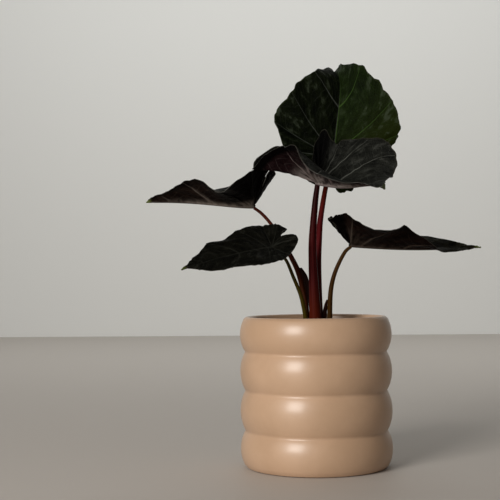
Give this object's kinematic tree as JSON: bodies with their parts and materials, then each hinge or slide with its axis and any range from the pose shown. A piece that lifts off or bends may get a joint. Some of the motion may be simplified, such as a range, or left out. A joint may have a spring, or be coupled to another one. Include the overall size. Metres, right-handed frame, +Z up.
{
  "type": "potted velvet-leaved alocasia",
  "caption": "Potted alocasia with dark heart-shaped velvet leaves on wine-red and olive stalks, in a tan pot of stacked round rolls.",
  "frame": {"origin": "centre of the pot's flat base, on the ground", "axes": "+Z up along the pot's axis; +X to the right and -Y towards the viewer as in the picture"},
  "size_m": [0.3552, 0.174, 0.4233],
  "materials": {
    "tan_glaze": "smooth tan glaze with a soft sheen",
    "potting_mix": "dark crumbly bark and peat mix",
    "corm_skin": "brown fibrous skin",
    "wine_red_stalk": "smooth, slightly glossy, wine red",
    "brown_stalk": "smooth brown red, greener towards the foot",
    "olive_stalk": "smooth olive green",
    "olive_brown_stalk": "smooth olive brown",
    "sheath": "thin, dark brown, papery at the edge",
    "green_blade": "velvet green with paler veins",
    "dark_blade": "dark velvet above with pale veins, wine purple below"
  },
  "bodies": {
    "root": {"pot": "tan_glaze", "soil": "potting_mix", "corm": "corm_skin", "stalk_front": "wine_red_stalk", "stalk_tall": "wine_red_stalk", "stalk_upper_left": "brown_stalk", "stalk_lower_left": "olive_stalk", "stalk_right": "olive_brown_stalk", "sheath_left": "sheath", "sheath_right": "sheath", "blade_tall": "green_blade", "blade_front": "dark_blade", "blade_upper_left": "dark_blade", "blade_lower_left": "dark_blade", "blade_right": "dark_blade"}
  },
  "joints": []
}
